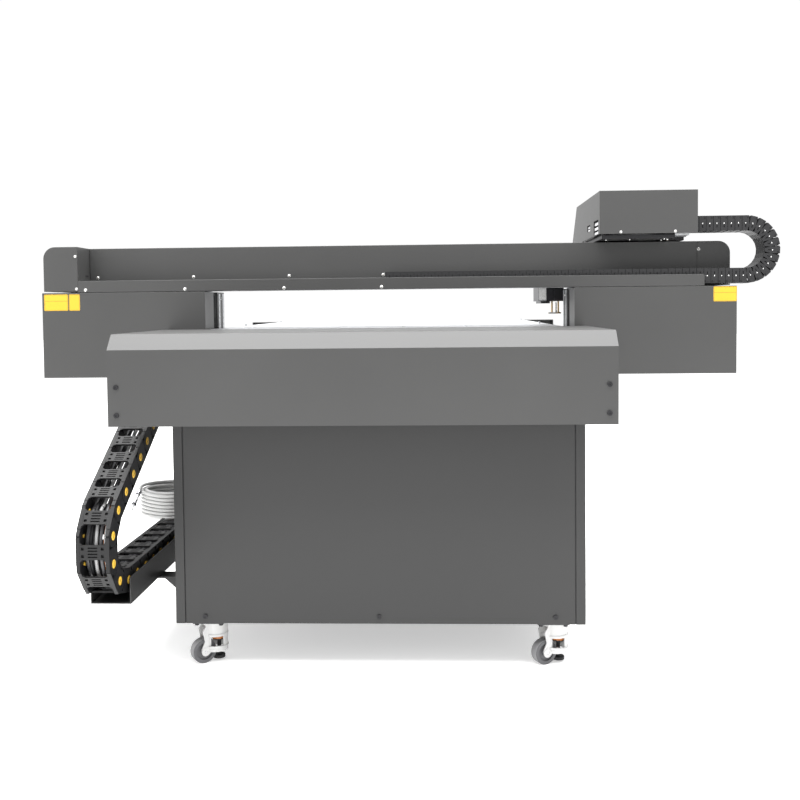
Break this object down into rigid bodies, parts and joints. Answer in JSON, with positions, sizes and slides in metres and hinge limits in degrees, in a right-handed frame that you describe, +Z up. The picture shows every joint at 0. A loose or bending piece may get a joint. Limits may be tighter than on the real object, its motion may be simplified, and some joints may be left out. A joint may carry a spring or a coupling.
{
  "type": "flatbed uv printer",
  "caption": "Moving-gantry flatbed UV printer on leveling casters: steel cabinet, vacuum bed, gantry on twin screws, belt-driven print carriage and two cable chains.",
  "frame": {"origin": "middle of the overall outline on the floor under the wheels, without the hose", "axes": "+Z up, +Y from the rear apron towards the operator side, +X to the right when seen from the rear, towards the side where the carriage parks"},
  "size_m": [2.464, 2.266, 1.428],
  "materials": {
    "cover_paint": "fine satin powder coat, mid grey",
    "panel_paint": "satin powder coat, dark grey",
    "frame_steel": "black painted steel",
    "bed_aluminium": "anodised, matt",
    "machined_aluminium": "machined",
    "ground_steel": "ground and oiled",
    "black_steel": "black oxide",
    "chain_plastic": "glass-filled polyamide",
    "black_plastic": "moulded",
    "belt_rubber": "toothed belt",
    "hose_plastic": "translucent white polyurethane",
    "coupling_metal": "nickel plated",
    "gland_plastic": "polyamide",
    "tank_plastic": "polyethylene",
    "equipment_grey": "light grey enamel",
    "head_black": "dark anodised",
    "lamp_housing": "black anodised",
    "probe_brass": "turned",
    "stop_red": "moulded",
    "caster_casting": "die cast",
    "wheel_rubber": "grey polyurethane",
    "foot_rubber": "nitrile"
  },
  "bodies": {
    "root": {"base_frame": "frame_steel", "rear_panel": "panel_paint", "front_panel": "panel_paint", "side_panels": "panel_paint", "rear_apron": "cover_paint", "front_apron": "cover_paint", "vacuum_bed": "bed_aluminium", "y_rails": "ground_steel", "y_drive_units": "black_steel", "vacuum_blower": "equipment_grey", "control_box": "equipment_grey", "panel_screws": "black_steel", "y_chain_tray": "panel_paint", "y_chain_lower": "chain_plastic", "hose_gland": "gland_plastic", "hose_coil": "hose_plastic", "hose_ends": "hose_plastic", "hose_connectors": "coupling_metal"},
    "pins": {"registration_pins": "ground_steel"},
    "y_screw_left": {"y_screw_left": "ground_steel"},
    "y_screw_right": {"y_screw_right": "ground_steel"},
    "gantry": {"gantry_legs": "machined_aluminium", "gantry_beam": "machined_aluminium", "beam_cover": "cover_paint", "end_caps": "cover_paint", "x_chain_tray": "cover_paint", "left_leg_rear_cover": "cover_paint", "left_leg_front_cover": "cover_paint", "right_leg_rear_cover": "cover_paint", "right_leg_front_cover": "cover_paint", "x_rails": "ground_steel", "x_motor": "black_steel", "x_belt": "belt_rubber", "ink_tanks": "tank_plastic", "capping_station": "black_plastic", "y_chain_upper": "chain_plastic", "x_chain_lower": "chain_plastic"},
    "y_chain_loop": {"y_chain_loop": "chain_plastic"},
    "x_chain_loop": {"x_chain_loop": "chain_plastic"},
    "drive_pulley": {"x_drive_pulley": "ground_steel"},
    "idler_pulley": {"x_idler_pulley": "ground_steel"},
    "emergency_stop": {"emergency_stop": "stop_red"},
    "carriage": {"carriage_plate": "black_steel", "carriage_cover": "cover_paint", "x_chain_upper": "chain_plastic"},
    "head": {"print_head_unit": "head_black", "uv_lamps": "lamp_housing"},
    "height_probe": {"height_probe": "probe_brass"},
    "caster_1": {"caster_fork_1": "caster_casting"},
    "wheel_1": {"caster_wheel_1": "wheel_rubber"},
    "foot_1": {"leveling_foot_1": "foot_rubber"},
    "caster_2": {"caster_fork_2": "caster_casting"},
    "wheel_2": {"caster_wheel_2": "wheel_rubber"},
    "foot_2": {"leveling_foot_2": "foot_rubber"},
    "caster_3": {"caster_fork_3": "caster_casting"},
    "wheel_3": {"caster_wheel_3": "wheel_rubber"},
    "foot_3": {"leveling_foot_3": "foot_rubber"},
    "caster_4": {"caster_fork_4": "caster_casting"},
    "wheel_4": {"caster_wheel_4": "wheel_rubber"},
    "foot_4": {"leveling_foot_4": "foot_rubber"}
  },
  "joints": [
    {"name": "gantry_slide", "type": "slide", "parent": "root", "child": "gantry", "axis": [0, 1, 0], "range_m": [0, 1]},
    {"name": "left_screw_spin", "type": "hinge", "parent": "root", "child": "y_screw_left", "pos_m": [-0.75, 0.279, 0.85], "axis": [0, 1, 0], "continuous": true},
    {"name": "right_screw_spin", "type": "hinge", "parent": "root", "child": "y_screw_right", "pos_m": [0.606, 0.279, 0.85], "axis": [0, 1, 0], "continuous": true},
    {"name": "y_chain_roll", "type": "slide", "parent": "gantry", "child": "y_chain_loop", "axis": [0, 1, 0], "range_m": [-0.5, 0], "deforming": ["y_chain_lower", "y_chain_upper"]},
    {"name": "carriage_slide", "type": "slide", "parent": "gantry", "child": "carriage", "axis": [1, 0, 0], "range_m": [-1.5, 0]},
    {"name": "x_chain_roll", "type": "slide", "parent": "carriage", "child": "x_chain_loop", "axis": [1, 0, 0], "range_m": [0, 0.75], "deforming": ["x_chain_lower", "x_chain_upper"]},
    {"name": "drive_pulley_spin", "type": "hinge", "parent": "gantry", "child": "drive_pulley", "pos_m": [-1.167, -0.098, 1.187], "axis": [0, 1, 0], "continuous": true},
    {"name": "idler_pulley_spin", "type": "hinge", "parent": "gantry", "child": "idler_pulley", "pos_m": [1.038, -0.098, 1.187], "axis": [0, 1, 0], "continuous": true},
    {"name": "head_lift", "type": "slide", "parent": "carriage", "child": "head", "axis": [0, 0, 1], "range_m": [-0.03, 0.03]},
    {"name": "probe_slide", "type": "slide", "parent": "head", "child": "height_probe", "axis": [0, 0, 1], "range_m": [0, 0.032], "stiffness_N_per_m": 60, "springref_m": -0.02},
    {"name": "stop_press", "type": "slide", "parent": "gantry", "child": "emergency_stop", "axis": [0, -1, 0], "range_m": [0, 0.004], "stiffness_N_per_m": 1500, "springref_m": -0.004},
    {"name": "pin_retract", "type": "slide", "parent": "root", "child": "pins", "axis": [0, 0, 1], "range_m": [-0.009, 0]},
    {"name": "caster_1_swivel", "type": "hinge", "parent": "root", "child": "caster_1", "pos_m": [-0.579, -0.811, 0], "axis": [0, 0, 1], "continuous": true},
    {"name": "wheel_1_spin", "type": "hinge", "parent": "caster_1", "child": "wheel_1", "pos_m": [-0.60194, -0.82706, 0.0365], "axis": [-0.5736, 0.8192, 0], "continuous": true},
    {"name": "foot_1_adjust", "type": "slide", "parent": "caster_1", "child": "foot_1", "axis": [0, 0, 1], "range_m": [-0.008, 0.003]},
    {"name": "caster_2_swivel", "type": "hinge", "parent": "root", "child": "caster_2", "pos_m": [0.435, -0.811, 0], "axis": [0, 0, 1], "continuous": true},
    {"name": "wheel_2_spin", "type": "hinge", "parent": "caster_2", "child": "wheel_2", "pos_m": [0.41005, -0.82371, 0.0365], "axis": [-0.454, 0.891, 0], "continuous": true},
    {"name": "foot_2_adjust", "type": "slide", "parent": "caster_2", "child": "foot_2", "axis": [0, 0, 1], "range_m": [-0.008, 0.003]},
    {"name": "caster_3_swivel", "type": "hinge", "parent": "root", "child": "caster_3", "pos_m": [-0.579, 0.919, 0], "axis": [0, 0, 1], "continuous": true},
    {"name": "wheel_3_spin", "type": "hinge", "parent": "caster_3", "child": "wheel_3", "pos_m": [-0.55111, 0.92144, 0.0365], "axis": [0.0872, -0.9962, 0], "continuous": true},
    {"name": "foot_3_adjust", "type": "slide", "parent": "caster_3", "child": "foot_3", "axis": [0, 0, 1], "range_m": [-0.008, 0.003]},
    {"name": "caster_4_swivel", "type": "hinge", "parent": "root", "child": "caster_4", "pos_m": [0.435, 0.919, 0], "axis": [0, 0, 1], "continuous": true},
    {"name": "wheel_4_spin", "type": "hinge", "parent": "caster_4", "child": "wheel_4", "pos_m": [0.46296, 0.91753, 0.0365], "axis": [-0.0523, -0.9986, 0], "continuous": true},
    {"name": "foot_4_adjust", "type": "slide", "parent": "caster_4", "child": "foot_4", "axis": [0, 0, 1], "range_m": [-0.008, 0.003]}
  ],
  "couplings": [
    {"joint": "left_screw_spin", "follows": "gantry_slide", "rad_per_m": 314.16},
    {"joint": "right_screw_spin", "follows": "gantry_slide", "rad_per_m": 314.16},
    {"joint": "y_chain_roll", "follows": "gantry_slide", "ratio": -0.5},
    {"joint": "x_chain_roll", "follows": "carriage_slide", "ratio": -0.5},
    {"joint": "drive_pulley_spin", "follows": "carriage_slide", "rad_per_m": -52.632},
    {"joint": "idler_pulley_spin", "follows": "carriage_slide", "rad_per_m": -52.632}
  ]
}
